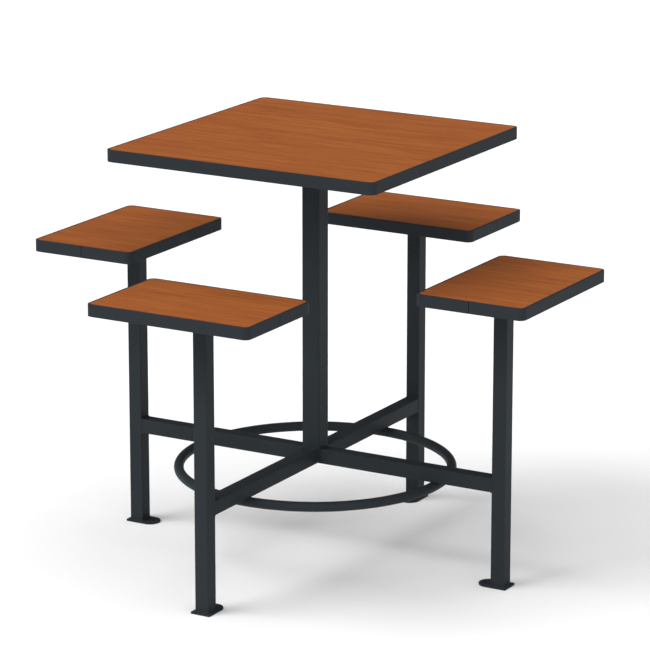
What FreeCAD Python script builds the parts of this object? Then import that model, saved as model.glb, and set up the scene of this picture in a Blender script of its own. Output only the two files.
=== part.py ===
import FreeCAD, Part
import math
import os
import re
import Sketcher
from FreeCAD import Placement, Rotation, Vector

# A high square table for four on one welded steel frame, with a swivelling seat on each leg.
# Millimetres, +Z up, origin on the floor under the middle of the table. Each seat turns about its
# leg on a spindle, stops against a dog at a quarter turn either way, and is sprung back to face in.

doc = FreeCAD.newDocument("HighTable")
sheet = doc.addObject("Spreadsheet::Sheet", "Sizes")

SIZES = (
    ("table_side", 766, "side of the square top"),
    ("table_height", 1099, "floor to the table's laminate"),
    ("table_thickness", 31, "table board with its laminate"),
    ("table_corner", 20, "corner radius of the top in plan"),
    ("seat_width", 458, "seat across the sitter"),
    ("seat_depth", 297, "seat from front to back"),
    ("seat_height", 797, "floor to the seat's laminate"),
    ("seat_thickness", 31, "seat board with its laminate"),
    ("seat_corner", 17, "corner radius of the seat in plan"),
    ("seat_offset", 21, "middle of the seat outward of its leg"),
    ("laminate_thickness", 1, "decorative sheet on the board"),
    ("band_face", 6, "edge band on the board's rim"),
    ("band_round", 1, "rounding of the band's outer edges"),
    ("band_stem", 2.4, "thickness of the band's stem"),
    ("band_stem_depth", 7, "stem into the board's rim"),
    ("band_seam", 1.6, "gap where the band's ends meet"),
    ("kerf_clearance", 0.1, "kerf round the stem"),
    ("leg_radius", 540, "middle of the table to a leg's axis"),
    ("leg_side", 38, "leg tube across its flats"),
    ("leg_wall", 2, "leg tube wall"),
    ("leg_corner", 2.5, "leg tube outer corner"),
    ("beam_side", 38, "beam tube across its flats"),
    ("beam_wall", 2, "beam tube wall"),
    ("beam_corner", 2.5, "beam tube outer corner"),
    ("beam_height", 268, "floor to the middle of the beams"),
    ("column_side", 50, "column tube across its flats"),
    ("column_wall", 2.5, "column tube wall"),
    ("column_corner", 4, "column tube outer corner"),
    ("ring_radius", 352, "foot ring to the middle of its tube"),
    ("ring_tube", 25.4, "foot ring tube diameter"),
    ("ring_wall", 2, "foot ring tube wall"),
    ("inner_corner", 0.5, "least corner radius inside a tube or a kerf"),
    ("foot_thickness", 5, "foot plate"),
    ("foot_margin", 8.5, "foot plate beyond the leg"),
    ("foot_corner", 3, "outer corners of the foot plate"),
    ("foot_tongue", 30.5, "leg axis to the middle of the tongue's round end"),
    ("foot_hole_distance", 42, "leg axis to the floor bolt"),
    ("foot_hole", 10, "floor bolt hole diameter"),
    ("table_plate_side", 300, "mounting plate under the top"),
    ("table_plate_thickness", 6, "mounting plate"),
    ("seat_plate_width", 240, "seat plate across the sitter"),
    ("seat_plate_depth", 160, "seat plate from front to back"),
    ("seat_plate_thickness", 5, "seat plate"),
    ("plate_corner", 10, "corner radius of both plates"),
    ("plate_edge", 0.6, "rounding of a steel plate's edges"),
    ("screw_inset", 18, "screws from the edge of a plate"),
    ("screw_shank", 4.5, "wood screw diameter"),
    ("screw_length", 22, "wood screw under its head"),
    ("screw_tip", 5, "pointed end of a wood screw"),
    ("screw_head", 9, "wood screw head diameter"),
    ("screw_head_top", 6, "flat on the screw head"),
    ("screw_head_height", 2.8, "wood screw head"),
    ("screw_clearance", 0.5, "plate hole round a screw, on the radius"),
    ("spindle_diameter", 16, "spindle that the seat turns on"),
    ("spindle_chamfer", 1, "chamfer on the spindle's end"),
    ("collar_height", 8, "shoulder that carries the seat on the bush"),
    ("running_clearance", 0.05, "bush round the spindle, on the radius"),
    ("thrust_clearance", 0.05, "bush to the spindle's shoulder"),
    ("bush_wall", 1.95, "bush sleeve"),
    ("bush_lip", 1, "bush flange beyond its sleeve"),
    ("bush_flange", 2, "bush flange thickness"),
    ("bush_length", 15, "bush sleeve length"),
    ("housing_flange", 5, "housing cap on the leg"),
    ("cap_round", 1, "rounding of the cap's upper edge"),
    ("housing_length", 70, "housing plug in the leg"),
    ("plug_clearance", 0.1, "leg bore round the housing plug"),
    ("dog_gap", 1.5, "stop dogs outside the bush flange"),
    ("dog_margin", 0.5, "stop dogs inside the cap's rounding"),
    ("dog_angle", 89, "sector of each stop dog, in degrees"),
    ("dog_clearance", 0.5, "end of a dog to the face beyond it"),
    ("clip_thickness", 1, "retaining ring"),
    ("clip_depth", 0.4, "groove of the retaining ring"),
    ("clip_reach", 2.5, "retaining ring beyond the spindle"),
    ("clip_gap", 6, "opening of the retaining ring"),
    ("clip_clearance", 0.1, "housing to the retaining ring"),
    ("spring_wire", 3, "return spring wire diameter"),
    ("spring_clearance", 1, "leg bore round the spring"),
    ("spring_turns", 6, "whole turns of the spring"),
    ("spring_pitch", 5, "rise of one turn"),
    ("spring_bend", 3.2, "bends at the spring's ends"),
    ("spring_drop", 6, "housing to the spring's first turn"),
    ("spring_tang", 8, "spring end held in the housing"),
    ("tang_clearance", 0.3, "hole or slot round the spring wire"),
    ("spindle_tail", 8, "spindle beyond the spring"),
)
ALIASES = {alias for alias, amount, meaning in SIZES}

for row, (alias, amount, meaning) in enumerate(SIZES, 1):
    sheet.set(f"A{row}", meaning)
    sheet.set(f"B{row}", str(amount))
    sheet.setAlias(f"B{row}", alias)
doc.recompute()

# The four places round the table: name, direction from the column in degrees, and the side of the
# seat, to the left (-1) or right (+1) of a sitter who faces the table, where the band's ends meet.
PLACES = (("front", -90, 1), ("right", 0, -1), ("back", 90, -1), ("left", 180, 1))

# Heights that follow from the sizes, as formulas on the sheet.
TABLE_UNDER = "(table_height - table_thickness)"
COLUMN_TOP = f"({TABLE_UNDER} - table_plate_thickness)"
BEAM_TOP = "(beam_height + beam_side / 2)"
RING_LEVEL = "(beam_height - beam_side / 2 - ring_tube / 2)"
SEAT_UNDER = "(seat_height - seat_thickness)"
PLATE_UNDER = f"({SEAT_UNDER} - seat_plate_thickness)"
BUSH_TOP = f"({PLATE_UNDER} - collar_height - thrust_clearance)"
CAP_TOP = f"({BUSH_TOP} - bush_flange)"
LEG_TOP = f"({CAP_TOP} - housing_flange)"
HOUSING_END = f"({LEG_TOP} - housing_length)"
CLIP_TOP = f"({HOUSING_END} - clip_clearance)"
SPRING_TOP = f"({HOUSING_END} - spring_drop)"
SPRING_END = f"({SPRING_TOP} - spring_pitch * (floor(2 * spring_turns) / 2 - 0.5))"
SPINDLE_END = f"({SPRING_END} - spindle_tail)"

# Radii inside the swivel, worked outward from the spindle and inward from the leg's bore.
SPINDLE_RADIUS = "(spindle_diameter / 2)"
BUSH_BORE = f"({SPINDLE_RADIUS} + running_clearance)"
BUSH_RADIUS = f"({BUSH_BORE} + bush_wall)"
BUSH_FLANGE_RADIUS = f"({BUSH_RADIUS} + bush_lip)"
DOG_INNER = f"({BUSH_FLANGE_RADIUS} + dog_gap)"
DOG_OUTER = "(leg_side / 2 - cap_round - dog_margin)"
SPRING_RADIUS = "(leg_side / 2 - leg_wall - spring_clearance - spring_wire / 2)"
CLIP_BORE = f"({SPINDLE_RADIUS} - clip_depth)"

# The spring's lower end bends in until it points at the axis, along the spindle's slot, which sets
# the angle where its turns begin and the place of the upper end in the housing.
BEND_CENTRE = f"({SPRING_RADIUS} - spring_bend)"
LAST_BEND = f"acos(-spring_bend / {BEND_CENTRE})"
COIL_ANGLE = (
    f"(-atan2(spring_bend * sin({LAST_BEND}); {BEND_CENTRE} + spring_bend * cos({LAST_BEND})))"
)
TANG_X = f"({SPRING_RADIUS} * cos({COIL_ANGLE}) + spring_bend * sin({COIL_ANGLE}))"
TANG_Y = f"({SPRING_RADIUS} * sin({COIL_ANGLE}) - spring_bend * cos({COIL_ANGLE}))"

START, END, CENTRE = range(1, 4)
HORIZONTAL, VERTICAL = range(-1, -3, -1)
ROOT = HORIZONTAL
UP = Vector(0, 0, 1)
TINY = 1e-7
GAP_POINTS = 600
nodes = {}


def formula(text):
    """A formula in size names, as an expression on the sheet."""
    def refer(word):
        return "Sizes." + word.group() if word.group() in ALIASES else word.group()
    return re.sub(r"[a-z]\w*", refer, text)


def value(text):
    """What a formula comes to, as a plain number."""
    return float(sheet.evalExpression(formula(text)))


def bind(item, **formulas):
    """Tie properties of an object to formulas."""
    for name, text in formulas.items():
        item.setExpression(name, formula(text))


def constrain(sketch, kind, where, text):
    """Add a sketch dimension that follows a formula."""
    amount = math.radians(value(text)) if kind == "Angle" else value(text)
    index = sketch.addConstraint(Sketcher.Constraint(kind, *where, amount))
    unit = " * 1 deg" if kind == "Angle" else ""
    sketch.setExpression(f"Constraints[{index}]", formula(text) + unit)


def pin_point(sketch, item, point, x, y):
    """Fix one point of a sketch item at the formulas x and y."""
    for kind, text, axis in (("DistanceX", x, VERTICAL), ("DistanceY", y, HORIZONTAL)):
        amount = value(text)
        if abs(amount) < TINY:
            sketch.addConstraint(Sketcher.Constraint("PointOnObject", item, point, axis))
        elif amount > 0:
            constrain(sketch, kind, (ROOT, START, item, point), text)
        else:
            constrain(sketch, kind, (item, point, ROOT, START), f"-({text})")


def rounded_rectangle(sketch, x0, x1, y0, y1, radius):
    """Four corner arcs, fixed at their centres, joined by tangent lines."""
    corners = (
        (f"{x1} - {radius}", f"{y0} + {radius}", -90),
        (f"{x1} - {radius}", f"{y1} - {radius}", 0),
        (f"{x0} + {radius}", f"{y1} - {radius}", 90),
        (f"{x0} + {radius}", f"{y0} + {radius}", 180),
    )
    arcs = []
    for x, y, turned in corners:
        circle = Part.Circle(Vector(value(x), value(y), 0), UP, value(radius))
        ends = math.radians(turned), math.radians(turned + 90)
        arcs.append(sketch.addGeometry(Part.ArcOfCircle(circle, *ends)))
        pin_point(sketch, arcs[-1], CENTRE, x, y)
        constrain(sketch, "Radius", (arcs[-1],), radius)
    for arc, following in zip(arcs, arcs[1:] + arcs[:1]):
        ends = sketch.getPoint(arc, END), sketch.getPoint(following, START)
        line = sketch.addGeometry(Part.LineSegment(*ends))
        sketch.addConstraint(Sketcher.Constraint("Tangent", arc, END, line, START))
        sketch.addConstraint(Sketcher.Constraint("Tangent", line, END, following, START))


def inset_rectangle(sketch, outline, inset):
    """A rounded rectangle inside an outline (x0, x1, y0, y1, corner) by an even inset."""
    x0, x1, y0, y1, corner = outline
    rounded_rectangle(
        sketch, f"({x0} + {inset})", f"({x1} - {inset})", f"({y0} + {inset})", f"({y1} - {inset})",
        f"max({corner} - {inset}; inner_corner)",
    )


def polygon(sketch, points):
    """Straight lines through points given as pairs of formulas."""
    corners = [Vector(value(x), value(y), 0) for x, y in points]
    lines = [
        sketch.addGeometry(Part.LineSegment(corner, following))
        for corner, following in zip(corners, corners[1:] + corners[:1])
    ]
    for line, following in zip(lines, lines[1:] + lines[:1]):
        sketch.addConstraint(Sketcher.Constraint("Coincident", line, END, following, START))
    for line, (x, y) in zip(lines, points):
        pin_point(sketch, line, START, x, y)


def round_hole(sketch, x, y, radius):
    """A circle about the formulas x and y."""
    centre = Vector(value(x), value(y), 0)
    hole = sketch.addGeometry(Part.Circle(centre, UP, value(radius)))
    pin_point(sketch, hole, CENTRE, x, y)
    constrain(sketch, "Radius", (hole,), radius)


def ring_sector(sketch, inner, outer, angle):
    """A sector of a ring about the origin, centred on the sketch's X axis."""
    half = math.radians(value(angle) / 2)
    arcs = []
    for radius in (inner, outer):
        circle = Part.Circle(Vector(0, 0, 0), UP, value(radius))
        arcs.append(sketch.addGeometry(Part.ArcOfCircle(circle, -half, half)))
        sketch.addConstraint(Sketcher.Constraint("Coincident", arcs[-1], CENTRE, ROOT, START))
        constrain(sketch, "Radius", (arcs[-1],), radius)
    for point, sign in ((START, "-"), (END, "")):
        ends = [sketch.getPoint(arc, point) for arc in arcs]
        line = sketch.addGeometry(Part.LineSegment(*ends))
        sketch.addConstraint(Sketcher.Constraint("Coincident", line, START, arcs[0], point))
        sketch.addConstraint(Sketcher.Constraint("Coincident", line, END, arcs[1], point))
        sketch.addConstraint(Sketcher.Constraint("PointOnObject", ROOT, START, line))
        constrain(sketch, "Angle", (line,), f"{sign}{angle} / 2")


def new_body(label):
    """A body that becomes the part's node of that name."""
    body = doc.addObject("PartDesign::Body", label)
    body.Label = label
    nodes[label] = body
    return body


def new_sketch(body, plane, level, turned=0):
    """A sketch on one of the body's own planes, moved along its normal to a level."""
    sketch = body.newObject("Sketcher::SketchObject", body.Name + "_sketch")
    support = [item for item in body.Origin.OriginFeatures if item.Role == plane][0]
    sketch.AttachmentSupport = [(support, "")]
    sketch.MapMode = "FlatFace"
    sketch.AttachmentOffset = Placement(Vector(0, 0, value(level)), Rotation(UP, turned))
    sketch.setExpression("AttachmentOffset.Base.z", formula(level))
    return sketch


def pad(body, sketch, length):
    """Thicken a sketch along its normal."""
    feature = body.newObject("PartDesign::Pad", body.Name + "_pad")
    feature.Profile = sketch
    bind(feature, Length=length)
    doc.recompute()
    return feature


def pocket(body, sketch, depth=None, upward=False):
    """Cut a sketch out of the body, right through it or to a depth, down or up from the sketch."""
    feature = body.newObject("PartDesign::Pocket", body.Name + "_pocket")
    feature.Profile = sketch
    feature.Reversed = upward
    if depth is None:
        feature.Type = "ThroughAll"
    else:
        bind(feature, Length=depth)
    before = feature.BaseFeature.Shape.Volume
    doc.recompute()
    if feature.Shape.isNull() or feature.Shape.Volume >= before:
        raise RuntimeError(f"{feature.Label} cuts nothing")


def revolve(body, sketch):
    """Turn a sketch once round the body's Z axis."""
    feature = body.newObject("PartDesign::Revolution", body.Name + "_revolve")
    feature.Profile = sketch
    feature.ReferenceAxis = (sketch, ["V_Axis"])
    feature.Angle = 360
    doc.recompute()


def round_edges(body, feature, wanted, radius):
    """Round those edges of a feature for which wanted(shape, edge) is true."""
    edges = feature.Shape.Edges
    names = [f"Edge{i}" for i, edge in enumerate(edges, 1) if wanted(feature.Shape, edge)]
    fillet = body.newObject("PartDesign::Fillet", body.Name + "_round")
    fillet.Base = (feature, names)
    bind(fillet, Radius=radius)
    doc.recompute()
    return fillet


def stand_at(item, direction):
    """Place an object, made about a leg's axis, on the leg in that direction from the column."""
    turn = math.radians(direction)
    item.Placement = Placement(Vector(0, 0, 0), Rotation(UP, direction))
    for axis, share in (("x", round(math.cos(turn))), ("y", round(math.sin(turn)))):
        if share:
            item.setExpression(f"Placement.Base.{axis}", formula(f"{share} * leg_radius"))


def square_tube(label, side, wall, corner, plane, start, length, centre="0"):
    """A square tube with rounded corners; its section sits at the height centre on a side plane."""
    body = new_body(label)
    sketch = new_sketch(body, plane, start)
    half = f"{side} / 2"
    outline = (f"(-{half})", f"({half})", f"({centre} - {half})", f"({centre} + {half})", corner)
    inset_rectangle(sketch, outline, "0")
    inset_rectangle(sketch, outline, wall)
    pad(body, sketch, length)
    return body


def is_rim(shape, edge):
    """True for a level edge of a plate's or a ring's outer wall, not of a round hole."""
    if edge.BoundBox.ZLength > TINY or edge.isClosed():
        return False
    middle = edge.valueAt((edge.FirstParameter + edge.LastParameter) / 2)
    outward = middle - shape.BoundBox.Center
    for face in shape.ancestorsOfType(edge, Part.Face):
        normal = face.normalAt(*face.Surface.parameter(middle))
        if abs(normal.z) < TINY:
            return normal.dot(outward) > 0


def board_core(label, outline, under, thickness, screws, screw_depth):
    """Wood-fibre board with a kerf round its rim and blind screw holes in its underside."""
    body = new_body(label)
    kerf = "(band_stem + 2 * kerf_clearance)"
    cheek = f"(({thickness} - {kerf}) / 2)"
    layers = (
        (under, cheek, "band_face"),
        (f"{under} + {cheek}", kerf, "(band_face + band_stem_depth + kerf_clearance)"),
        (f"{under} + {cheek} + {kerf}", f"{cheek} - laminate_thickness", "band_face"),
    )
    for level, depth, inset in layers:
        sketch = new_sketch(body, "XY_Plane", level)
        inset_rectangle(sketch, outline, inset)
        pad(body, sketch, depth)
    sketch = new_sketch(body, "XY_Plane", under)
    for x, y in screws:
        round_hole(sketch, x, y, "screw_shank / 2")
    pocket(body, sketch, screw_depth, upward=True)
    return body


def board_laminate(label, outline, top):
    """Decorative laminate glued over the whole core, inside the edge band."""
    body = new_body(label)
    sketch = new_sketch(body, "XY_Plane", f"{top} - laminate_thickness")
    inset_rectangle(sketch, outline, "band_face")
    pad(body, sketch, "laminate_thickness")
    return body


def edge_band(label, outline, under, thickness, seam_x, seam_side):
    """T-shaped edge band: a face round the rim, a stem in the kerf, and a seam where the ends meet."""
    body = new_body(label)
    sketch = new_sketch(body, "XY_Plane", under)
    inset_rectangle(sketch, outline, "0")
    inset_rectangle(sketch, outline, "band_face")
    face = pad(body, sketch, thickness)
    round_edges(body, face, is_rim, "band_round")
    sketch = new_sketch(body, "XY_Plane", f"{under} + ({thickness} - band_stem) / 2")
    inset_rectangle(sketch, outline, "(band_face / 2)")
    inset_rectangle(sketch, outline, "(band_face + band_stem_depth)")
    pad(body, sketch, "band_stem")
    sketch = new_sketch(body, "XY_Plane", f"{under} + {thickness}")
    rim = outline[3] if seam_side > 0 else outline[2]
    inner = f"{rim} - ({seam_side}) * 2 * (band_face + band_stem_depth)"
    outer = f"{rim} + ({seam_side}) * band_face"
    sides = f"{seam_x} - band_seam / 2", f"{seam_x} + band_seam / 2"
    polygon(sketch, [(sides[0], inner), (sides[1], inner), (sides[1], outer), (sides[0], outer)])
    pocket(body, sketch)
    return body


def steel_plate(label, half_x, half_y, under, thickness, screws):
    """Flat steel plate with clearance holes for wood screws."""
    body = new_body(label)
    sketch = new_sketch(body, "XY_Plane", under)
    rounded_rectangle(sketch, f"(-{half_x})", half_x, f"(-{half_y})", half_y, "plate_corner")
    for x, y in screws:
        round_hole(sketch, x, y, "screw_shank / 2 + screw_clearance")
    round_edges(body, pad(body, sketch, thickness), is_rim, "plate_edge")
    return body


def wood_screws(label, screws, under):
    """Pan-head wood screws driven upward, with their heads against the level under."""
    group = []
    shank_length = "(screw_length - screw_tip)"
    for x, y in screws:
        head = doc.addObject("Part::Cone", "screw_head")
        bind(head, Radius1="screw_head_top / 2", Radius2="screw_head / 2", Height="screw_head_height")
        shank = doc.addObject("Part::Cylinder", "screw_shank")
        bind(shank, Radius="screw_shank / 2", Height=shank_length)
        tip = doc.addObject("Part::Cone", "screw_tip")
        bind(tip, Radius1="screw_shank / 2", Height="screw_tip")
        tip.Radius2 = 0
        levels = (f"{under} - screw_head_height", under, f"{under} + {shank_length}")
        for piece, level in zip((head, shank, tip), levels):
            for axis, text in zip("xyz", (x, y, level)):
                piece.setExpression(f"Placement.Base.{axis}", formula(text))
        screw = doc.addObject("Part::MultiFuse", "screw")
        screw.Shapes = [head, shank, tip]
        group.append(screw)
    screws_group = doc.addObject("Part::Compound", label)
    screws_group.Links = group
    screws_group.Label = label
    nodes[label] = screws_group
    return screws_group


def foot_plate(label):
    """Plate under a leg, square outside, with a round-ended tongue and a floor bolt hole inside."""
    body = new_body(label)
    half = "(leg_side / 2 + foot_margin)"
    sketch = new_sketch(body, "XY_Plane", "0")
    r, x = value(half), -value("foot_tongue")
    round_end = Part.ArcOfCircle(Part.Circle(Vector(x, 0, 0), UP, r), math.pi / 2, 3 * math.pi / 2)
    arc = sketch.addGeometry(round_end)
    pin_point(sketch, arc, CENTRE, "-foot_tongue", "0")
    constrain(sketch, "Radius", (arc,), half)
    corners = Vector(x, -r, 0), Vector(r, -r, 0), Vector(r, r, 0), Vector(x, r, 0)
    lines = [sketch.addGeometry(Part.LineSegment(*ends)) for ends in zip(corners, corners[1:])]
    joints = (
        ("Tangent", arc, END, lines[0], START), ("Coincident", lines[0], END, lines[1], START),
        ("Coincident", lines[1], END, lines[2], START), ("Tangent", lines[2], END, arc, START),
        ("Horizontal", lines[0]), ("Vertical", lines[1]), ("Horizontal", lines[2]),
    )
    for joint in joints:
        sketch.addConstraint(Sketcher.Constraint(*joint))
    constrain(sketch, "DistanceX", (ROOT, START, lines[1], START), half)
    round_hole(sketch, "-foot_hole_distance", "0", "foot_hole / 2")
    plate = pad(body, sketch, "foot_thickness")

    def outer_corner(shape, edge):
        box = edge.BoundBox
        return box.ZLength > TINY and box.XMin > 0 and edge.Curve.TypeId == "Part::GeomLine"
    plate = round_edges(body, plate, outer_corner, "foot_corner")
    round_edges(body, plate, is_rim, "plate_edge")
    return body


def swivel_housing(label):
    """Moulded plug in the top of a leg: square cap, fixed stop dog, bush bore, hole for the spring."""
    body = new_body(label)
    plug = "(leg_side / 2 - leg_wall - plug_clearance)"
    cap = "(leg_side / 2)"
    bore_corner = "max(leg_corner - leg_wall - plug_clearance; inner_corner)"
    for level, length, half, corner in (
        (HOUSING_END, "housing_length", plug, bore_corner),
        (LEG_TOP, "housing_flange", cap, "leg_corner"),
    ):
        sketch = new_sketch(body, "XY_Plane", level)
        rounded_rectangle(sketch, f"(-{half})", half, f"(-{half})", half, corner)
        block = pad(body, sketch, length)

    def upper_edge(shape, edge):
        return edge.BoundBox.ZMin > shape.BoundBox.ZMax - TINY
    round_edges(body, block, upper_edge, "cap_round")
    sketch = new_sketch(body, "XY_Plane", CAP_TOP)
    ring_sector(sketch, DOG_INNER, DOG_OUTER, "dog_angle")
    pad(body, sketch, f"{PLATE_UNDER} - {CAP_TOP} - dog_clearance")
    sketch = new_sketch(body, "XY_Plane", CAP_TOP)
    round_hole(sketch, "0", "0", BUSH_RADIUS)
    pocket(body, sketch)
    sketch = new_sketch(body, "XY_Plane", HOUSING_END)
    round_hole(sketch, TANG_X, TANG_Y, "spring_wire / 2 + tang_clearance")
    pocket(body, sketch, "spring_tang + tang_clearance", upward=True)
    return body


def swivel_bushes(label):
    """Upper flanged bush and lower sleeve, pressed into the housing from its two ends."""
    upper = doc.addObject("PartDesign::Body", label + "_upper")
    sleeve_end = f"{CAP_TOP} - bush_length"
    sketch = new_sketch(upper, "XZ_Plane", "0")
    polygon(sketch, [
        (BUSH_BORE, sleeve_end), (BUSH_RADIUS, sleeve_end), (BUSH_RADIUS, CAP_TOP),
        (BUSH_FLANGE_RADIUS, CAP_TOP), (BUSH_FLANGE_RADIUS, BUSH_TOP), (BUSH_BORE, BUSH_TOP),
    ])
    revolve(upper, sketch)
    lower = doc.addObject("PartDesign::Body", label + "_lower")
    sleeve_top = f"{HOUSING_END} + bush_length"
    sketch = new_sketch(lower, "XZ_Plane", "0")
    polygon(sketch, [
        (BUSH_BORE, HOUSING_END), (BUSH_RADIUS, HOUSING_END),
        (BUSH_RADIUS, sleeve_top), (BUSH_BORE, sleeve_top),
    ])
    revolve(lower, sketch)
    pair = doc.addObject("Part::Compound", label)
    pair.Links = [upper, lower]
    pair.Label = label
    nodes[label] = pair
    return pair


def spindle(label):
    """Turned spindle with a shoulder, ring groove, slotted tail and the stop dog that turns with it."""
    body = new_body(label)
    shoulder = f"{PLATE_UNDER} - collar_height"
    groove_end = f"{CLIP_TOP} - clip_thickness"
    sketch = new_sketch(body, "XZ_Plane", "0")
    polygon(sketch, [
        ("0", SPINDLE_END), (f"{SPINDLE_RADIUS} - spindle_chamfer", SPINDLE_END),
        (SPINDLE_RADIUS, f"{SPINDLE_END} + spindle_chamfer"), (SPINDLE_RADIUS, groove_end),
        (CLIP_BORE, groove_end), (CLIP_BORE, CLIP_TOP), (SPINDLE_RADIUS, CLIP_TOP),
        (SPINDLE_RADIUS, shoulder), (BUSH_FLANGE_RADIUS, shoulder),
        (BUSH_FLANGE_RADIUS, PLATE_UNDER), ("0", PLATE_UNDER),
    ])
    revolve(body, sketch)
    web = "collar_height / 2"
    sketch = new_sketch(body, "XY_Plane", f"{PLATE_UNDER} - {web}", turned=180)
    ring_sector(sketch, f"({BUSH_FLANGE_RADIUS} / 2)", DOG_OUTER, "dog_angle")
    pad(body, sketch, web)
    sketch = new_sketch(body, "XY_Plane", f"{CAP_TOP} + dog_clearance", turned=180)
    ring_sector(sketch, DOG_INNER, DOG_OUTER, "dog_angle")
    pad(body, sketch, f"{PLATE_UNDER} - {CAP_TOP} - dog_clearance")
    half = "(spring_wire / 2 + tang_clearance)"
    sketch = new_sketch(body, "XY_Plane", SPINDLE_END)
    polygon(sketch, [
        ("-spindle_diameter", f"-{half}"), ("spindle_diameter", f"-{half}"),
        ("spindle_diameter", half), ("-spindle_diameter", half),
    ])
    pocket(body, sketch, f"{SPRING_END} + {half} - {SPINDLE_END}", upward=True)
    return body


def retaining_ring(label):
    """Open ring in the spindle's groove, under the housing, that keeps the seat from lifting off."""
    body = new_body(label)
    sketch = new_sketch(body, "XY_Plane", f"{CLIP_TOP} - clip_thickness")
    round_hole(sketch, "0", "0", f"{SPINDLE_RADIUS} + clip_reach")
    round_hole(sketch, "0", "0", CLIP_BORE)
    pad(body, sketch, "clip_thickness")
    sketch = new_sketch(body, "XY_Plane", CLIP_TOP)
    half = "clip_gap / 2"
    polygon(sketch, [
        ("0", f"-{half}"), ("spindle_diameter", f"-{half}"), ("spindle_diameter", half), ("0", half),
    ])
    pocket(body, sketch)
    return body


def arc_from(start, tangent, finish):
    """The arc that leaves start along tangent and ends at finish."""
    chord = finish - start
    along = Vector(chord).normalize()
    bulge = (tangent - along * tangent.dot(along)).normalize()
    half_turn = tangent.getAngle(along)
    middle = start + chord * 0.5 + bulge * (chord.Length / 2 * math.tan(half_turn / 2))
    return Part.Arc(start, middle, finish)


def biarc(start, tangent, finish, end_tangent):
    """Two arcs, tangent to each other, that join two points along two given directions."""
    span = finish - start
    tangents = tangent + end_tangent
    spread = 2 * (1 - tangent.dot(end_tangent))
    pull = span.dot(tangents)
    reach = (math.sqrt(pull * pull + spread * span.dot(span)) - pull) / spread
    middle = (start + finish + (tangent - end_tangent) * reach) * 0.5
    first = arc_from(start, tangent, middle)
    back = arc_from(finish, end_tangent * -1, middle)
    second = Part.Arc(middle, back.value((back.FirstParameter + back.LastParameter) / 2), finish)
    return [first, second]


def spring_path():
    """The wire's path: down out of the housing, round its turns, and in across the spindle's slot.

    Each half turn is a biarc. The wire lies level at both ends of the coil and falls a pitch a turn
    between them. The last bend turns until the wire points at the axis.
    """
    radius, bend, pitch = value(SPRING_RADIUS), value("spring_bend"), value("spring_pitch")
    halves = int(2 * value("spring_turns"))
    top = value(SPRING_TOP)
    last_bend = math.radians(value(LAST_BEND))
    first_angle = math.radians(value(COIL_ANGLE))
    stations = []
    for k in range(halves + 1):
        angle = first_angle + math.pi * k
        outward = Vector(math.cos(angle), math.sin(angle), 0)
        ahead = Vector(-math.sin(angle), math.cos(angle), 0)
        at_end = k in (0, halves)
        fall = pitch * (0 if k == 0 else k / 2 - 0.25 if k < halves else k / 2 - 0.5)
        slope = 0 if at_end else pitch / (2 * math.pi * radius)
        tangent = (ahead - UP * slope).normalize()
        stations.append((outward * radius + UP * (top - fall), tangent))
    start, ahead = stations[0]
    bend_start = start - ahead * bend + UP * bend
    tang_top = Vector(bend_start.x, bend_start.y, value(HOUSING_END) + value("spring_tang"))
    curves = [Part.LineSegment(tang_top, bend_start), arc_from(bend_start, UP * -1, start)]
    for (point, tangent), (following, end_tangent) in zip(stations, stations[1:]):
        curves += biarc(point, tangent, following, end_tangent)
    finish, ahead = stations[-1]
    inward = Vector(-finish.x, -finish.y, 0).normalize()
    heading = ahead * math.cos(last_bend) + inward * math.sin(last_bend)
    bend_end = finish + inward * (bend * (1 - math.cos(last_bend))) + ahead * (bend * math.sin(last_bend))
    curves.append(arc_from(finish, ahead, bend_end))
    beyond = bend_end + heading * (Vector(bend_end.x, bend_end.y, 0).Length + value(SPINDLE_RADIUS))
    curves.append(Part.LineSegment(bend_end, beyond))
    return curves


def spring_gap(curves, wire):
    """Least clear gap between one turn of the wire and the next, measured on points of its path."""
    path = Part.Wire([curve.toShape() for curve in curves])
    points = path.discretize(Number=GAP_POINTS)
    apart = int(len(points) / value("spring_turns") / 2)
    return min(
        points[i].distanceToPoint(point) - wire
        for i in range(len(points) - apart) for point in points[i + apart:]
    )


def return_spring(label, curves):
    """Torsion spring wound from one wire, swept along its path."""
    start, towards = curves[0].StartPoint, curves[0].EndPoint
    section = Part.Wire(Part.Circle(start, towards - start, value("spring_wire / 2")).toShape())
    sweep = Part.BRepOffsetAPI.MakePipeShell(Part.Wire([curve.toShape() for curve in curves]))
    sweep.add(section)
    sweep.build()
    sweep.makeSolid()
    spring = doc.addObject("Part::Feature", label)
    spring.Shape = sweep.shape()
    spring.Label = label
    nodes[label] = spring
    return spring


def grid(half_x, half_y, middles):
    """Screw places at the corners of a rectangle, with the middles of its sides if wanted."""
    shares = [(i, k) for i in (-1, 0, 1) for k in (-1, 0, 1) if i or k]
    return [
        (f"{i} * ({half_x})", f"{k} * ({half_y})") for i, k in shares if middles or (i and k)
    ]


# The table top: core, laminate and edge band, screwed to a plate on the column.
table_half = "(table_side / 2)"
table_outline = (f"(-{table_half})", table_half, f"(-{table_half})", table_half, "table_corner")
table_grid = "table_plate_side / 2 - screw_inset"
table_screws = grid(table_grid, table_grid, middles=True)
board_core(
    "table_core", table_outline, TABLE_UNDER, "table_thickness", table_screws,
    "screw_length - table_plate_thickness",
)
board_laminate("table_laminate", table_outline, "table_height")
edge_band("table_edge_band", table_outline, TABLE_UNDER, "table_thickness", "0", 1)
plate_half = "(table_plate_side / 2)"
steel_plate("table_plate", plate_half, plate_half, COLUMN_TOP, "table_plate_thickness", table_screws)
wood_screws("table_screws", table_screws, COLUMN_TOP)

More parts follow.
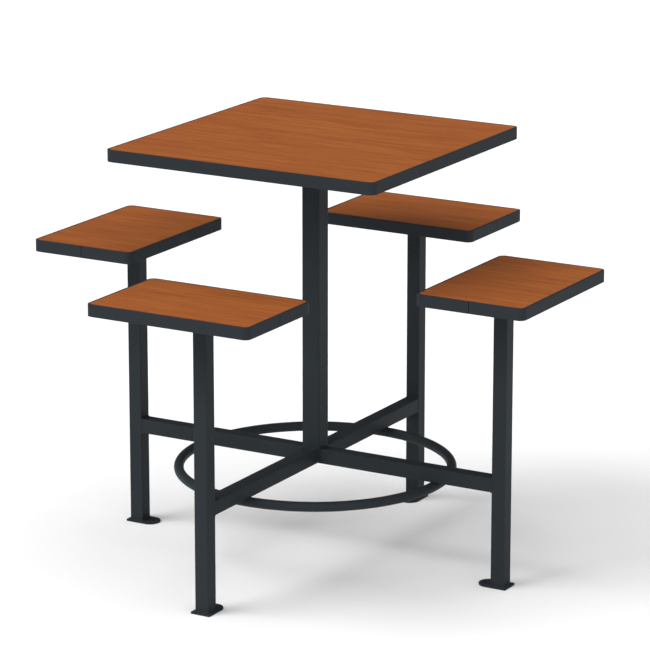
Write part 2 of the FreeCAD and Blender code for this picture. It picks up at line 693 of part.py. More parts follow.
# The frame: a long beam with a shorter one butted to each side of it, the column on their crossing,
# and the foot ring under them.
square_tube(
    "column", "column_side", "column_wall", "column_corner", "XY_Plane", BEAM_TOP,
    f"{COLUMN_TOP} - {BEAM_TOP}",
)
leg_face = "(leg_radius - leg_side / 2)"
beam_section = "beam_side", "beam_wall", "beam_corner", "YZ_Plane"
square_tube("cross_beam", *beam_section, f"-{leg_face}", f"2 * {leg_face}", "beam_height")
for place, direction in (("front", -90), ("back", 90)):
    half_beam = square_tube(
        f"beam_{place}", *beam_section, "beam_side / 2", f"{leg_face} - beam_side / 2", "beam_height",
    )
    half_beam.Placement = Placement(Vector(0, 0, 0), Rotation(UP, direction))
ring_skins = []
for shrink in ("0", "ring_wall"):
    skin = doc.addObject("Part::Torus", "ring_skin")
    bind(skin, Radius1="ring_radius", Radius2=f"ring_tube / 2 - {shrink}")
    skin.setExpression("Placement.Base.z", formula(RING_LEVEL))
    ring_skins.append(skin)
foot_ring = doc.addObject("Part::Cut", "foot_ring")
foot_ring.Base, foot_ring.Tool = ring_skins
foot_ring.Label = "foot_ring"
nodes["foot_ring"] = foot_ring

# The four places: leg, foot and swivel stand still, and the seat turns with its plate and spindle.
wire_path = spring_path()
near, far = "(seat_offset - seat_depth / 2)", "(seat_offset + seat_depth / 2)"
seat_outline = (near, far, "(-seat_width / 2)", "(seat_width / 2)", "seat_corner")
plate_halves = "(seat_plate_depth / 2)", "(seat_plate_width / 2)"
seat_screws = grid(*(f"{half} - screw_inset" for half in plate_halves), middles=False)
for place, direction, seam_side in PLACES:
    pieces = (
        square_tube(
            f"leg_{place}", "leg_side", "leg_wall", "leg_corner", "XY_Plane", "foot_thickness",
            f"{LEG_TOP} - foot_thickness",
        ),
        foot_plate(f"foot_plate_{place}"),
        swivel_housing(f"swivel_housing_{place}"),
        swivel_bushes(f"swivel_bushes_{place}"),
        return_spring(f"return_spring_{place}", wire_path),
        board_core(
            f"seat_core_{place}", seat_outline, SEAT_UNDER, "seat_thickness", seat_screws,
            "screw_length - seat_plate_thickness",
        ),
        board_laminate(f"seat_laminate_{place}", seat_outline, "seat_height"),
        edge_band(
            f"seat_edge_band_{place}", seat_outline, SEAT_UNDER, "seat_thickness",
            "seat_offset", seam_side,
        ),
        steel_plate(
            f"seat_plate_{place}", *plate_halves, PLATE_UNDER, "seat_plate_thickness", seat_screws,
        ),
        wood_screws(f"seat_screws_{place}", seat_screws, PLATE_UNDER),
        spindle(f"spindle_{place}"),
        retaining_ring(f"retaining_ring_{place}"),
    )
    for piece in pieces:
        stand_at(piece, direction)
doc.recompute()

# Every object has to be sound before anything is written.
for item in doc.Objects:
    if "Invalid" in item.State or "Error" in item.State:
        raise RuntimeError(f"{item.Label} failed: {item.State}")
for label, item in nodes.items():
    if item.Shape.isNull() or not item.Shape.isValid() or not item.Shape.Solids:
        raise RuntimeError(f"{label} has no sound solid")

os.makedirs("parts", exist_ok=True)
for label, item in nodes.items():
    item.Shape.exportStep(os.path.join("parts", label + ".step"))
print(f"{len(nodes)} nodes, spring gap {spring_gap(wire_path, value('spring_wire')):.2f} mm")
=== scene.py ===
import bpy
import numpy as np
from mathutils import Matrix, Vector


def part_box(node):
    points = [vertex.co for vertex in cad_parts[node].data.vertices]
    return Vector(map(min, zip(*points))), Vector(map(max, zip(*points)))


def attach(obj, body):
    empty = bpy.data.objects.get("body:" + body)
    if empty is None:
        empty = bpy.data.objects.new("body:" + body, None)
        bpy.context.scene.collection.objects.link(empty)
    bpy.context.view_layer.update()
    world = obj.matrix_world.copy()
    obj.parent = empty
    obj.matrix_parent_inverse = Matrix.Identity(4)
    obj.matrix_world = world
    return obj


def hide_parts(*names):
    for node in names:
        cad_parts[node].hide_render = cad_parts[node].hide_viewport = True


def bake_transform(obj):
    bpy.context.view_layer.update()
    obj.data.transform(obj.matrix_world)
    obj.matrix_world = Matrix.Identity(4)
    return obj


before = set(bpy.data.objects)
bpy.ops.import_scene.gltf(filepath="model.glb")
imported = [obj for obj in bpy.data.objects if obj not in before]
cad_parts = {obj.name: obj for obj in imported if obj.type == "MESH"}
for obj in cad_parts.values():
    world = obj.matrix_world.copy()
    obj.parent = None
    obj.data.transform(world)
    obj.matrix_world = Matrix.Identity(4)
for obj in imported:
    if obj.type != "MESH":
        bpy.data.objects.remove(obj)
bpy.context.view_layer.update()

# Foot plates: 5 mm flat steel, cut with a round-ended tongue towards the column and a hole for a
# floor bolt, and welded under the legs. They share the frame's finish: the whole weldment is blasted
# and powder-coated in one go, which leaves a satin charcoal skin with a fine orange peel.
PLACES = {"front": -90, "right": 0, "back": 90, "left": 180}  # degrees about the column, from +X
CHARCOAL = 0.0202, 0.0252, 0.0292
PEEL_DEPTH, GRIT_DEPTH = 0.00012, 0.00004


def connect(tree, node, inputs):
    """Give a node's inputs their values: numbers, colours, or outputs of other nodes."""
    for name, source in inputs.items():
        if isinstance(source, bpy.types.NodeSocket):
            tree.links.new(source, node.inputs[name])
        else:
            node.inputs[name].default_value = source


def add_node(tree, kind, inputs, **settings):
    """A shader node with its settings and inputs."""
    node = tree.nodes.new("ShaderNode" + kind)
    for name, setting in settings.items():
        setattr(node, name, setting)
    connect(tree, node, inputs)
    return node


def speckle(tree, grains, detail=2.0, distortion=0.0):
    """Noise on Object coordinates; grains is how many go in a metre, one number or one for each axis."""
    place = add_node(tree, "TexCoord", {}).outputs["Object"]
    mapping = {"Vector": place, "Scale": np.broadcast_to(grains, 3).tolist()}
    stretched = add_node(tree, "Mapping", mapping).outputs["Vector"]
    settings = {"Vector": stretched, "Scale": 1.0, "Detail": detail, "Distortion": distortion}
    return add_node(tree, "TexNoise", settings).outputs["Fac"]


def between(tree, source, low, high, start=0.3, end=0.7):
    """A value that runs from low to high as its source, most often noise, runs from start to end."""
    ends = {"Value": source, "From Min": start, "From Max": end, "To Min": low, "To Max": high}
    return add_node(tree, "MapRange", ends).outputs["Result"]


def tinted(tree, colour, strength):
    """A colour made lighter or darker by a strength that varies over the surface."""
    inputs = {"Vector": colour, "Scale": strength}
    return add_node(tree, "VectorMath", inputs, operation="SCALE").outputs["Vector"]


def relief(tree, *layers):
    """A bumped normal from layers of noise, each with its depth in metres."""
    below = {}
    for height, depth in layers:
        bump = add_node(tree, "Bump", {"Height": height, "Distance": depth, **below})
        below = {"Normal": bump.outputs["Normal"]}
    return below["Normal"]


def new_finish(name):
    """A material, its node tree and its shader."""
    material = bpy.data.materials.new(name)
    material.use_nodes = True
    return material, material.node_tree, material.node_tree.nodes["Principled BSDF"]


def dress(material, *names):
    """Put a finish on CAD nodes."""
    for name in names:
        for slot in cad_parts[name].material_slots:
            slot.material = material


frame_paint, tree, shader = new_finish("charcoal_powder_coat")
peel = speckle(tree, 620, detail=1)
grit = speckle(tree, 2600)
cloud = speckle(tree, 7)
connect(tree, shader, {
    "Base Color": tinted(tree, CHARCOAL, between(tree, cloud, 0.93, 1.07)),
    "Roughness": between(tree, grit, 0.46, 0.58),
    "Specular IOR Level": 0.09,
    "Normal": relief(tree, (peel, PEEL_DEPTH), (grit, GRIT_DEPTH)),
})
dress(frame_paint, *[f"foot_plate_{place}" for place in PLACES])

# Legs: 38 mm square steel tube, sawn square and stood on the foot plates, with a fillet weld run
# right round the foot. The bead is laid in ripples, one for each dip of the filler rod.
leg_low, leg_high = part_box("leg_right")
LEG_RADIUS = (leg_low.x + leg_high.x) / 2
LEG_HALF = (leg_high.x - leg_low.x) / 2
FOOT_TOP = leg_low.z
TUBE_CORNER = 0.0025
FOOT_BEAD = 0.0034
RIPPLE, RIPPLE_POINTS, RIPPLE_LAG = 0.0024, 6, 0.4
BEAD_CORE, RIPPLE_SHARE, SWAY_SHARE, SWAYS = 0.9, 0.13, 0.05, 5
BEAD_END_POINTS = 2
SIDE_ANGLES = np.linspace(-np.pi, np.pi, 12, endpoint=False)
SHARP_EDGE = np.radians(65)


def ripple_count(length):
    """Points along a bead, a whole number of ripples."""
    return RIPPLE_POINTS * int(np.ceil(length / RIPPLE))


def rounded_outline(half_u, half_v, corner):
    """Points at even steps round a rectangle with rounded corners, and the outward normals there.

    Each point is a corner's centre plus the corner's radius along the normal. Along a side the centre
    slides and the normal stands still; round a corner the centre stands still and the normal turns.
    """
    flat_u, flat_v = half_u - corner, half_v - corner
    arc = np.pi / 2 * corner
    stops = np.cumsum([0] + 2 * [2 * flat_v, arc, 2 * flat_u, arc])
    travel = np.linspace(0, stops[-1], ripple_count(stops[-1]), endpoint=False)
    centre_u = np.interp(travel, stops, flat_u * np.array([1, 1, 1, -1, -1, -1, -1, 1, 1]))
    centre_v = np.interp(travel, stops, flat_v * np.array([-1, 1, 1, 1, 1, -1, -1, -1, -1]))
    turn = np.interp(travel, stops, np.radians([0, 0, 90, 90, 180, 180, 270, 270, 360]))
    normal = np.stack([np.cos(turn), np.sin(turn)], axis=1)
    return np.stack([centre_u, centre_v], axis=1) + corner * normal, normal


def tube_faces(rings, sides, closed):
    """Quads between each ring of points and the next, and a flat cap on each end of an open tube."""
    ring = np.arange(rings if closed else rings - 1)[:, None]
    side = np.arange(sides)
    after, beside = (ring + 1) % rings, (side + 1) % sides
    corners = ring * sides + side, ring * sides + beside, after * sides + beside, after * sides + side
    quads = np.stack(corners, axis=-1).reshape(-1, 4)
    caps = np.stack([side[::-1], side + (rings - 1) * sides])
    return [quads] if closed else [quads, caps]


def tube(path, outward, radius, closed):
    """A round tube along a path, as points and faces.

    At each point of the path stands a circle, in the plane of outward and of the direction square to
    outward and to the path. The radius is one number, or one for each point of each circle.
    """
    ahead = np.roll(path, -1, 0) - np.roll(path, 1, 0) if closed else np.gradient(path, axis=0)
    ahead /= np.linalg.norm(ahead, axis=1, keepdims=True)
    outward = outward / np.linalg.norm(outward, axis=1, keepdims=True)
    across = np.cross(ahead, outward)
    out, side = np.cos(SIDE_ANGLES)[:, None], np.sin(SIDE_ANGLES)[:, None]
    circles = out * outward[:, None] + side * across[:, None]
    points = path[:, None] + np.asarray(radius)[..., None] * circles
    return points.reshape(-1, 3), tube_faces(len(path), len(SIDE_ANGLES), closed)


def weld_bead(path, outward, radius, closed=True):
    """A rippled bead along a path, as points and faces.

    It is a tube whose radius follows the ripples, which lag at the bead's sides, and a slow sway, and
    falls to a third at the ends of an open bead.
    """
    count = len(path)
    point = np.arange(count)[:, None]
    ripple = np.abs(np.sin(np.pi * (point / RIPPLE_POINTS + RIPPLE_LAG * np.cos(SIDE_ANGLES))))
    sway = np.sin(2 * np.pi * SWAYS * point / count)
    size = radius * (BEAD_CORE + RIPPLE_SHARE * ripple + SWAY_SHARE * sway)
    if not closed:
        to_end = np.minimum(point, count - 1 - point)
        size *= np.minimum((to_end + BEAD_END_POINTS) / RIPPLE_POINTS, 1)
    return tube(path, outward, size, closed)


def turned(vectors, degrees):
    """Vectors turned about the column, from the +X place to another one."""
    cosine, sine = np.cos(np.radians(degrees)), np.sin(np.radians(degrees))
    return vectors @ np.array([[cosine, sine, 0], [-sine, cosine, 0], [0, 0, 1]])


def at_places(points, faces):
    """A shell made at the +X place, at each of the four places."""
    return [(turned(points, degrees), faces) for degrees in PLACES.values()]


def new_piece(name, shells, material, body=None):
    """One object from several shells of points and faces, in a finish and its slot, on a body if given."""
    starts = np.cumsum([0] + [len(points) for points, blocks in shells])
    faces = []
    for start, (points, blocks) in zip(starts, shells):
        for block in blocks:
            faces += (block + start).tolist()
    mesh = bpy.data.meshes.new(name)
    mesh.from_pydata(np.concatenate([points for points, blocks in shells]), [], faces)
    mesh.shade_smooth()
    mesh.set_sharp_from_angle(angle=SHARP_EDGE)
    mesh.materials.append(material)
    piece = bpy.data.objects.new(name, mesh)
    bpy.context.scene.collection.objects.link(piece)
    if body:
        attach(piece, body)
    return piece


def painted_welds(name, beads, body="frame"):
    """One piece from weld beads, under the same paint as the tubes that they join."""
    new_piece(name, beads, frame_paint, body)


dress(frame_paint, *[f"leg_{place}" for place in PLACES])
outline, normal = rounded_outline(LEG_HALF, LEG_HALF, TUBE_CORNER)
foot_path = np.insert(outline + (LEG_RADIUS, 0), 2, FOOT_TOP, axis=1)
foot_outward = np.insert(normal, 2, 1.0, axis=1)
painted_welds("foot_welds", at_places(*weld_bead(foot_path, foot_outward, FOOT_BEAD)))

# Beams: 38 mm square tube. One long beam runs from the left leg to the right one; a shorter beam is
# butted to each side of it. Beads go round every joint, nearly flush where two tubes have one width.
beam_low, beam_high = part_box("cross_beam")
LEG_FACE, BEAM_HALF, BEAM_TOP = beam_high
BEAM_UNDER = beam_low.z
BEAM_LEVEL = (BEAM_UNDER + BEAM_TOP) / 2
FLUSH_INSET, SHORT_OF_CORNER = 0.0016, 0.0015
FLAT_HALF = BEAM_HALF - SHORT_OF_CORNER
BEAM_END_BEAD, CROSSING_BEAD, UNDER_BEAD = 0.0026, 0.003, 0.0024

dress(frame_paint, "cross_beam", "beam_front", "beam_back")


def straight_bead(start, end, outward, radius):
    """An open bead with points at even steps along a straight run."""
    start, end = np.array(start), np.array(end)
    share = np.linspace(0, 1, ripple_count(np.linalg.norm(end - start)))[:, None]
    path = start + share * (end - start)
    return weld_bead(path, np.broadcast_to(outward, path.shape), radius, closed=False)


outline, normal = rounded_outline(BEAM_HALF - FLUSH_INSET, BEAM_HALF, TUBE_CORNER)
end_path = np.insert(outline + (0, BEAM_LEVEL), 0, LEG_FACE, axis=1)
end_outward = np.insert(normal, 0, -1.0, axis=1)
painted_welds("beam_end_welds", at_places(*weld_bead(end_path, end_outward, BEAM_END_BEAD)))

upright_beads = [
    straight_bead((x, y, BEAM_LEVEL - FLAT_HALF), (x, y, BEAM_LEVEL + FLAT_HALF), (x, y, 0), CROSSING_BEAD)
    for x in (-BEAM_HALF, BEAM_HALF) for y in (-BEAM_HALF, BEAM_HALF)
]
groove = BEAM_UNDER + FLUSH_INSET
under_beads = [
    straight_bead((-FLAT_HALF, y, groove), (FLAT_HALF, y, groove), (0, 0, -1), UNDER_BEAD)
    for y in (-BEAM_HALF, BEAM_HALF)
]
painted_welds("crossing_welds", upright_beads + under_beads)

# Foot ring: one length of inch round tube, rolled into a hoop, its joint welded and ground away. It
# hangs under the beams on two short beads at each crossing, one on each side of the tube.
ring_low, ring_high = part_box("foot_ring")
RING_RADIUS = ring_high.x - (ring_high.z - ring_low.z) / 2
RING_BEAD = 0.0028
BEAD_OFFSET, BEAD_SUNK, BEAD_DROOP, BEAD_SHORT = 0.0052, 0.0004, 0.6, 0.003
BEAD_HALF = BEAM_HALF - BEAD_SHORT

dress(frame_paint, "foot_ring")


def radial(angle):
    """Level unit vectors at angles from +X."""
    return np.stack([np.cos(angle), np.sin(angle), 0 * angle], axis=-1)


ring_beads = []
for side in (-1, 1):
    reach = RING_RADIUS + side * BEAD_OFFSET
    half_angle = BEAD_HALF / reach
    angle = np.linspace(-half_angle, half_angle, ripple_count(2 * BEAD_HALF))
    path = reach * radial(angle) + (0, 0, BEAM_UNDER - BEAD_SUNK)
    outward = side * radial(angle) - (0, 0, BEAD_DROOP)
    ring_beads += at_places(*weld_bead(path, outward, RING_BEAD, closed=False))
painted_welds("ring_welds", ring_beads)

# Column: 50 mm square tube on the crossing, welded where its four walls cross the beams. A 300 mm
# steel plate is welded on its top end, with a bead all round, to take the table top.
COLUMN_HALF, _, PLATE_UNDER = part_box("column")[1]
COLUMN_CORNER = 0.004
COLUMN_BASE_BEAD, COLUMN_TOP_BEAD = 0.0034, 0.004

dress(frame_paint, "column", "table_plate")
base_bead = straight_bead(
    (COLUMN_HALF, -FLAT_HALF, BEAM_TOP), (COLUMN_HALF, FLAT_HALF, BEAM_TOP), (1, 0, 1), COLUMN_BASE_BEAD,
)
painted_welds("column_base_welds", at_places(*base_bead))
outline, normal = rounded_outline(COLUMN_HALF, COLUMN_HALF, COLUMN_CORNER)
top_path = np.insert(outline, 2, PLATE_UNDER, axis=1)
top_bead = weld_bead(top_path, np.insert(normal, 2, -1.0, axis=1), COLUMN_TOP_BEAD)
painted_welds("column_top_weld", [top_bead])

# Table screws: eight zinc-plated pan-head wood screws with a cross recess, driven up through the
# plate into the board. Their threads are rolled, and the plating leaves a bright, faintly mottled skin.
ZINC = 0.60, 0.61, 0.62
PLATING_DEPTH = 0.00002
HEAD_RADIUS, HEAD_HEIGHT = 0.0045, 0.0028
HEAD_ROWS, HEAD_MIDDLE = 19, 0.02
ARM_LENGTH, ARM_HALF, ARM_WALL, ARM_SLOPE = 0.0029, 0.0008, 0.0002, 0.0006
ARM_DEPTH, ARM_END_DEPTH = 0.0016, 0.00096
ARM_COLUMNS, FOOT_COLUMN, EDGE_COLUMN = 12, 2, 3
SCREW_COLUMNS = 4 * ARM_COLUMNS
WIDEST_FOOT, WIDEST_EDGE = 0.5, 0.62
SHANK_RADIUS, SHANK_LENGTH, SHANK_ROWS = 0.00225, 0.022, 98
TIP_LENGTH, TIP_SHARE = 0.005, 0.04
THREAD_PITCH, THREAD_DEPTH, THREAD_START = 0.0018, 0.00055, 0.006
TABLE_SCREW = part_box("table_screws")[1].x - HEAD_RADIUS

zinc_plate, tree, shader = new_finish("zinc_plate")
plating = speckle(tree, 900)
connect(tree, shader, {
    "Base Color": tinted(tree, ZINC, between(tree, plating, 0.88, 1.08)),
    "Metallic": 1.0,
    "Roughness": between(tree, plating, 0.24, 0.40),
    "Normal": relief(tree, (plating, PLATING_DEPTH)),
})


def pan_head():
    """Radius, angle and level of a head's points: rows from its middle to its rim, columns round it.

    In each quarter, columns follow the foot and the edge of one arm of the cross, and fan out beyond
    them. Near the middle, where a row is narrower than an arm, the sines of both angles are held. The
    dome's height falls as the square root of one less the cube of the share of the radius. The arms
    sink into it, less deep towards their ends, where they slope up.
    """
    half_arm = ARM_COLUMNS // 2
    arm, column = np.divmod(np.arange(SCREW_COLUMNS) + half_arm, ARM_COLUMNS)
    column = column - half_arm
    away = np.abs(column)
    share = np.linspace(HEAD_MIDDLE, 1, HEAD_ROWS)[:, None]
    radius = HEAD_RADIUS * share
    foot = np.arcsin(np.minimum((ARM_HALF - ARM_WALL) / radius, WIDEST_FOOT))
    edge = np.arcsin(np.minimum(ARM_HALF / radius, WIDEST_EDGE))
    beyond = edge + (np.pi / 4 - edge) * (away - EDGE_COLUMN) / (half_arm - EDGE_COLUMN)
    aside = np.where(away <= FOOT_COLUMN, foot * away / FOOT_COLUMN, beyond)
    angle = np.pi / 2 * arm + np.sign(column) * aside
    sunk = np.interp(radius, [0, ARM_LENGTH], [ARM_DEPTH, ARM_END_DEPTH])
    sunk = sunk * np.clip((ARM_LENGTH - radius) / ARM_SLOPE, 0, 1)
    sunk = sunk * np.clip((ARM_HALF - radius * np.sin(aside)) / ARM_WALL, 0, 1)
    return np.broadcast_arrays(radius, angle, sunk - HEAD_HEIGHT * np.sqrt(1 - share**3))


def threaded_shank():
    """Radius, angle and level of a shank's points: rows from its head to its tip, columns round it.

    The radius dips between the turns of the thread, which starts above a plain stretch, and falls
    evenly over the length of the tip.
    """
    angle = np.linspace(0, 2 * np.pi, SCREW_COLUMNS, endpoint=False)
    level = np.linspace(0, SHANK_LENGTH, SHANK_ROWS)[:, None]
    dip = np.abs(2 * np.mod(level / THREAD_PITCH - angle / (2 * np.pi), 1) - 1)
    taper = np.clip((SHANK_LENGTH - level) / TIP_LENGTH, TIP_SHARE, 1)
    radius = (SHANK_RADIUS - THREAD_DEPTH * dip * (level > THREAD_START)) * taper
    return np.broadcast_arrays(radius, angle, level)


def pan_screw():
    """A screw that points up, with the rim of its head round the origin, as points and faces."""
    radius, angle, level = np.concatenate([pan_head(), threaded_shank()], axis=1)
    points = radius[..., None] * radial(angle)
    points[..., 2] = level
    return points.reshape(-1, 3), tube_faces(len(radius), SCREW_COLUMNS, closed=False)


screw_points, screw_faces = pan_screw()
table_screws = new_piece("table_pan_screws", [
    (screw_points + (TABLE_SCREW * i, TABLE_SCREW * k, PLATE_UNDER), screw_faces)
    for i in (-1, 0, 1) for k in (-1, 0, 1) if i or k
], zinc_plate, "frame")
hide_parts("table_screws")

# Table top: wood-fibre board with a brown backing sheet underneath, cherry wood-grain laminate glued
# on top, and an extruded charcoal edge band whose stem is knocked into a kerf in the rim.
FIBRE, BACKING = (0.30, 0.19, 0.11), (0.040, 0.031, 0.026)
BACKING_THICKNESS, BACKING_EDGE, FLAKE_DEPTH = 0.0006, 0.0001, 0.00004
CHERRY_DARK, CHERRY_LIGHT = (0.267, 0.0714, 0.0168), (0.365, 0.110, 0.0240)
PORE_DEPTH, FIBRE_DEPTH = 0.00003, 0.00002
BAND = 0.0207, 0.0260, 0.0307
DRAWN_DEPTH, PEBBLE_DEPTH = 0.00003, 0.00003


def board_core(name, under, *boards):
    """Finish of board cores: pressed fibres, with the backing sheet over their undersides."""
    material, tree, shader = new_finish(name)
    flakes = speckle(tree, 420, detail=4)
    kraft = speckle(tree, (60, 900, 60), detail=4)
    place = add_node(tree, "TexCoord", {}).outputs["Object"]
    level = add_node(tree, "SeparateXYZ", {"Vector": place}).outputs["Z"]
    backing_top = under + BACKING_THICKNESS
    above = between(tree, level, 0.0, 1.0, backing_top, backing_top + BACKING_EDGE)
    fibre = tinted(tree, FIBRE, between(tree, flakes, 0.75, 1.2))
    backing = tinted(tree, BACKING, between(tree, kraft, 0.88, 1.12))
    mixed = add_node(tree, "MixRGB", {"Fac": above, "Color1": backing, "Color2": fibre})
    connect(tree, shader, {
        "Base Color": mixed.outputs["Color"],
        "Roughness": between(tree, kraft, 0.5, 0.66),
        "Specular IOR Level": 0.25,
        "Normal": relief(tree, (flakes, FLAKE_DEPTH)),
    })
    dress(material, *boards)


cherry, tree, shader = new_finish("cherry_grain")
figure = speckle(tree, (4.2, 75, 75), detail=3, distortion=0.4)
streak = speckle(tree, (9, 130, 130), distortion=0.3)
fibre = speckle(tree, (16, 620, 620), detail=3)
pores = between(tree, speckle(tree, (85, 2100, 2100), detail=1), 1.0, 0.66, 0.58, 0.70)
ramp = add_node(tree, "ValToRGB", {"Fac": between(tree, figure, 0.0, 1.0)})
for stop, colour in zip(ramp.color_ramp.elements, (CHERRY_DARK, CHERRY_LIGHT)):
    stop.color = *colour, 1.0
grain = tinted(tree, ramp.outputs["Color"], between(tree, streak, 1.0, 0.88, 0.50, 0.70))
grain = tinted(tree, grain, between(tree, fibre, 0.88, 1.11))
connect(tree, shader, {
    "Base Color": tinted(tree, grain, pores),
    "Roughness": between(tree, fibre, 0.42, 0.50),
    "Specular IOR Level": 0.10,
    "Normal": relief(tree, (pores, PORE_DEPTH), (fibre, FIBRE_DEPTH)),
})

edge_band, tree, shader = new_finish("charcoal_vinyl")
drawn = speckle(tree, (6, 6, 1500), detail=1)
pebble = speckle(tree, 1900)
connect(tree, shader, {
    "Base Color": tinted(tree, BAND, between(tree, drawn, 0.95, 1.05)),
    "Roughness": between(tree, pebble, 0.50, 0.62),
    "Specular IOR Level": 0.08,
    "Normal": relief(tree, (drawn, DRAWN_DEPTH), (pebble, PEBBLE_DEPTH)),
})

board_core("table_board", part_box("table_core")[0].z, "table_core")
dress(cherry, "table_laminate")
dress(edge_band, "table_edge_band")

# Swivels: a black glass-filled nylon housing is plugged into each leg and caps it. It carries the
# fixed stop dog on its rim, and two turned acetal bushes in its bore.
NYLON, ACETAL = (0.018, 0.018, 0.019), (0.66, 0.64, 0.58)
SPARK_DEPTH, LATHE_DEPTH = 0.00005, 0.00002

housing_nylon, tree, shader = new_finish("black_nylon")
spark = speckle(tree, 1300, detail=3)
connect(tree, shader, {
    "Base Color": tinted(tree, NYLON, between(tree, spark, 0.85, 1.2)),
    "Roughness": between(tree, spark, 0.42, 0.6),
    "Specular IOR Level": 0.3,
    "Normal": relief(tree, (spark, SPARK_DEPTH)),
})
bush_acetal, tree, shader = new_finish("natural_acetal")
lathe = speckle(tree, (40, 40, 4000), detail=1)
connect(tree, shader, {
    "Base Color": tinted(tree, ACETAL, between(tree, lathe, 0.94, 1.04)),
    "Roughness": between(tree, lathe, 0.30, 0.42),
    "Subsurface Weight": 0.15,
    "Normal": relief(tree, (lathe, LATHE_DEPTH)),
})
for place in PLACES:
    dress(housing_nylon, f"swivel_housing_{place}")
    dress(bush_acetal, f"swivel_bushes_{place}")

# Spindles: turned from bright bar, with the moving stop dog. Each is welded to the steel plate under
# its seat, with one thin bead round the collar, and turns in the two bushes.
STEEL = 0.50, 0.50, 0.51
CUT_DEPTH = 0.00003
SEAT_PLATE_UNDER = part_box("seat_plate_right")[0].z
COLLAR_RADIUS, COLLAR_BEAD = 0.011, 0.0012

bright_steel, tree, shader = new_finish("bright_turned_steel")
cut = speckle(tree, (60, 60, 5200), detail=1)
tarnish = speckle(tree, 90, detail=3)
connect(tree, shader, {
    "Base Color": tinted(tree, STEEL, between(tree, tarnish, 0.85, 1.08)),
    "Metallic": 1.0,
    "Roughness": between(tree, cut, 0.24, 0.36),
    "Normal": relief(tree, (cut, CUT_DEPTH)),
})
angle = np.linspace(0, 2 * np.pi, ripple_count(2 * np.pi * COLLAR_RADIUS), endpoint=False)
for place, degrees in PLACES.items():
    dress(bright_steel, f"spindle_{place}")
    dress(frame_paint, f"seat_plate_{place}")
    collar = turned(np.array([LEG_RADIUS, 0, SEAT_PLATE_UNDER]), degrees) + COLLAR_RADIUS * radial(angle)
    bead = weld_bead(collar, radial(angle) - (0, 0, 1), COLLAR_BEAD)
    painted_welds(f"spindle_weld_{place}", [bead], f"seat_{place}")

# Return springs: six turns of oil-hardened wire round the foot of each spindle, below the ring that
# keeps the spindle down. The upper end stands in the housing and the lower one lies in a slot across
# the spindle, so the coil winds as the seat turns, and brings it back.
SPRING_STEEL = 0.20, 0.20, 0.21
SCALE_DEPTH = 0.00002
WIRE_RADIUS, WIRE_BEND = 0.0015, 0.0032
COIL_TURNS, COIL_PITCH = 6, 0.005
SPINDLE_RADIUS = 0.008
TURN_POINTS, BEND_POINTS, RUN_POINTS = 48, 9, 9
spring_low, spring_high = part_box("return_spring_right")
COIL_RADIUS = (spring_high.y - spring_low.y) / 2 - WIRE_RADIUS
COIL_END = spring_low.z + WIRE_RADIUS
COIL_TOP = COIL_END + COIL_PITCH * (COIL_TURNS - 0.5)

spring_wire, tree, shader = new_finish("oiled_spring_wire")
scale = speckle(tree, 500, detail=3)
connect(tree, shader, {
    "Base Color": tinted(tree, SPRING_STEEL, between(tree, scale, 0.7, 1.15)),
    "Metallic": 1.0,
    "Roughness": between(tree, scale, 0.32, 0.5),
    "Normal": relief(tree, (scale, SCALE_DEPTH)),
})


def spring_path():
    """Points along the wire of a spring about the Z axis, and directions square to the wire there.

    The wire comes straight down and bends into the coil. The coil falls by its pitch in each turn, but
    in the first and the last half turn by the pitch times the square of the share of a turn, so that
    it starts and ends level. Its last bend aims it at the axis, and it runs straight on from there.
    """
    inner = COIL_RADIUS - WIRE_BEND
    last_turn = np.arccos(-WIRE_BEND / inner)
    first = -np.arctan2(WIRE_BEND * np.sin(last_turn), inner + WIRE_BEND * np.cos(last_turn))
    outward, ahead, up = radial(first), radial(first + np.pi / 2), np.array([0, 0, 1])
    dive = np.linspace(0, np.pi / 2, BEND_POINTS)[:, None]
    entry = COIL_RADIUS * outward + COIL_TOP * up
    entry = entry + WIRE_BEND * ((1 - np.sin(dive)) * up - np.cos(dive) * ahead)
    tang = entry[0] + np.linspace(spring_high.z - entry[0, 2], 0, RUN_POINTS)[:-1, None] * up
    turn = np.linspace(0, COIL_TURNS, COIL_TURNS * TURN_POINTS + 1)[1:-1]
    left = COIL_TURNS - turn
    fall = np.select([turn < 0.5, left < 0.5], [turn**2, COIL_TURNS - 0.5 - left**2], turn - 0.25)
    coil = COIL_RADIUS * radial(first + 2 * np.pi * turn) + (COIL_TOP - COIL_PITCH * fall)[:, None] * up
    curl = np.linspace(0, last_turn, BEND_POINTS)
    leave = inner * outward + WIRE_BEND * radial(first + curl) + COIL_END * up
    run = np.linspace(0, inner * np.sin(last_turn) + SPINDLE_RADIUS, RUN_POINTS)[1:, None]
    end = leave[-1] + run * radial(first + last_turn + np.pi / 2)
    angles = np.concatenate([
        np.full(len(tang) + len(entry), first), first + 2 * np.pi * turn,
        first + curl, np.full(len(end), first + last_turn),
    ])
    return np.concatenate([tang, entry, coil, leave, end]), radial(angles)


path, outward = spring_path()
wire = tube(path + (LEG_RADIUS, 0, 0), outward, WIRE_RADIUS, closed=False)
for (place, degrees), wire_here in zip(PLACES.items(), at_places(*wire)):
    dress(spring_wire, f"retaining_ring_{place}")
    spring = new_piece(f"spring_wire_{place}", [wire_here], spring_wire)
    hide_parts(f"return_spring_{place}")
    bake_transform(spring)

# Seats: made like the table top, 458 by 297 mm, and held to the seat plate by four pan-head screws.
# The ends of the edge band meet in an open butt seam on one short side.
screw_low, screw_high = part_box("seat_screws_right")
SEAT_SCREW_OUT, SEAT_SCREW_ALONG, _ = (screw_high - screw_low) / 2 - Vector((HEAD_RADIUS, HEAD_RADIUS, 0))
SEAT_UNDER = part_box("seat_core_right")[0].z

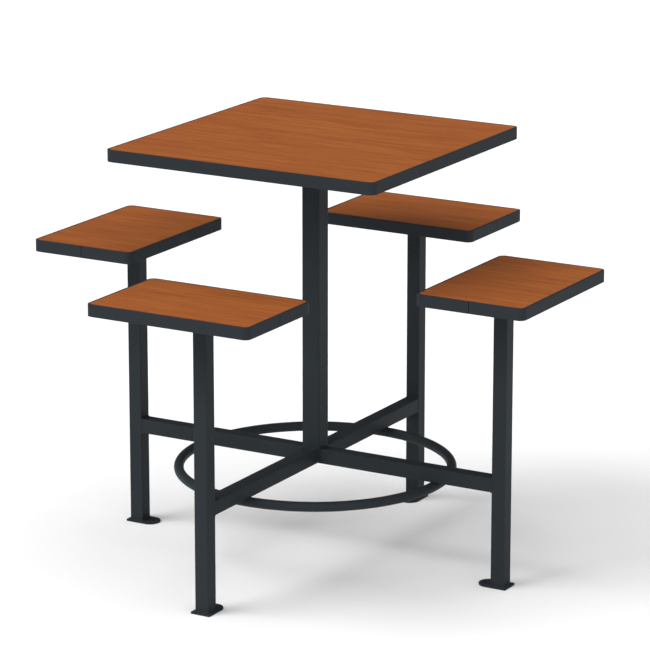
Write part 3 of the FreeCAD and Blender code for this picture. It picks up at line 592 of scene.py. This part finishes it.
board_core("seat_board", SEAT_UNDER, *[f"seat_core_{place}" for place in PLACES])
seat_spots = np.array([
    (LEG_RADIUS + i * SEAT_SCREW_OUT, k * SEAT_SCREW_ALONG, SEAT_PLATE_UNDER)
    for i in (-1, 1) for k in (-1, 1)
])
for place, degrees in PLACES.items():
    dress(cherry, f"seat_laminate_{place}")
    dress(edge_band, f"seat_edge_band_{place}")
    seat_screws = new_piece(f"seat_pan_screws_{place}", [
        (screw_points + spot, screw_faces) for spot in turned(seat_spots, degrees)
    ], zinc_plate, f"seat_{place}")
    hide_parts(f"seat_screws_{place}")

# Studio: a plain pale floor, a soft light high on the left, a much broader one high on the right, and
# a dim dome that the camera sees as white. The camera stands where the photograph was taken from.
FLOOR_HALF = 60.0
FLOOR_GREY = 0.92, 0.92, 0.92, 1.0
LIGHTS = {  # direction, strength, and spread in degrees
    "left_light": ((-0.50, -0.50, 0.71), 1.75, 40),
    "right_light": ((0.25, -0.43, 0.87), 2.80, 120),
}
HORIZON_GLOW, ZENITH_GLOW, BACKDROP_GLOW = 0.13, 0.08, 1.0
CAMERA_EYE = 4.4787, -7.7073, 2.9988
CAMERA_AZIMUTH, CAMERA_ELEVATION = np.radians(30.0), np.radians(15.0)
CAMERA_LENS, CAMERA_SENSOR = 200.08, 36.0
CAMERA_REACH = 200.0

floor_mesh = bpy.data.meshes.new("floor")
corners = [(x * FLOOR_HALF, y * FLOOR_HALF, 0) for x, y in ((-1, -1), (1, -1), (1, 1), (-1, 1))]
floor_mesh.from_pydata(corners, [], [(0, 1, 2, 3)])
floor = bpy.data.objects.new("floor", floor_mesh)
bpy.context.scene.collection.objects.link(floor)
pale_floor, tree, shader = new_finish("pale_floor")
connect(tree, shader, {"Base Color": FLOOR_GREY, "Roughness": 0.9, "Specular IOR Level": 0.0})
floor_mesh.materials.append(pale_floor)

for name, (towards, strength, spread) in LIGHTS.items():
    light = bpy.data.objects.new(name, bpy.data.lights.new(name, "SUN"))
    light.data.energy = strength
    light.data.angle = np.radians(spread)
    light.rotation_euler = Vector(towards).to_track_quat("Z", "Y").to_euler()
    bpy.context.scene.collection.objects.link(light)

dome = bpy.data.worlds.new("dome")
dome.use_nodes = True
bpy.context.scene.world = dome
tree = dome.node_tree
upward = add_node(tree, "TexCoord", {}).outputs["Generated"]
height = add_node(tree, "SeparateXYZ", {"Vector": upward}).outputs["Z"]
glow = between(tree, height, HORIZON_GLOW, ZENITH_GLOW, 0.0, 1.0)
seen = add_node(tree, "LightPath", {}).outputs["Is Camera Ray"]
shown = between(tree, seen, glow, BACKDROP_GLOW, 0.0, 1.0)
connect(tree, tree.nodes["Background"], {"Color": (1, 1, 1, 1), "Strength": shown})

camera = bpy.data.objects.new("camera", bpy.data.cameras.new("camera"))
camera.data.lens, camera.data.sensor_width = CAMERA_LENS, CAMERA_SENSOR
camera.data.clip_end = CAMERA_REACH
camera.location = CAMERA_EYE
camera.rotation_euler = np.pi / 2 - CAMERA_ELEVATION, 0, CAMERA_AZIMUTH
bpy.context.scene.collection.objects.link(camera)
bpy.context.scene.camera = camera
bpy.context.scene.view_settings.view_transform = "Standard"
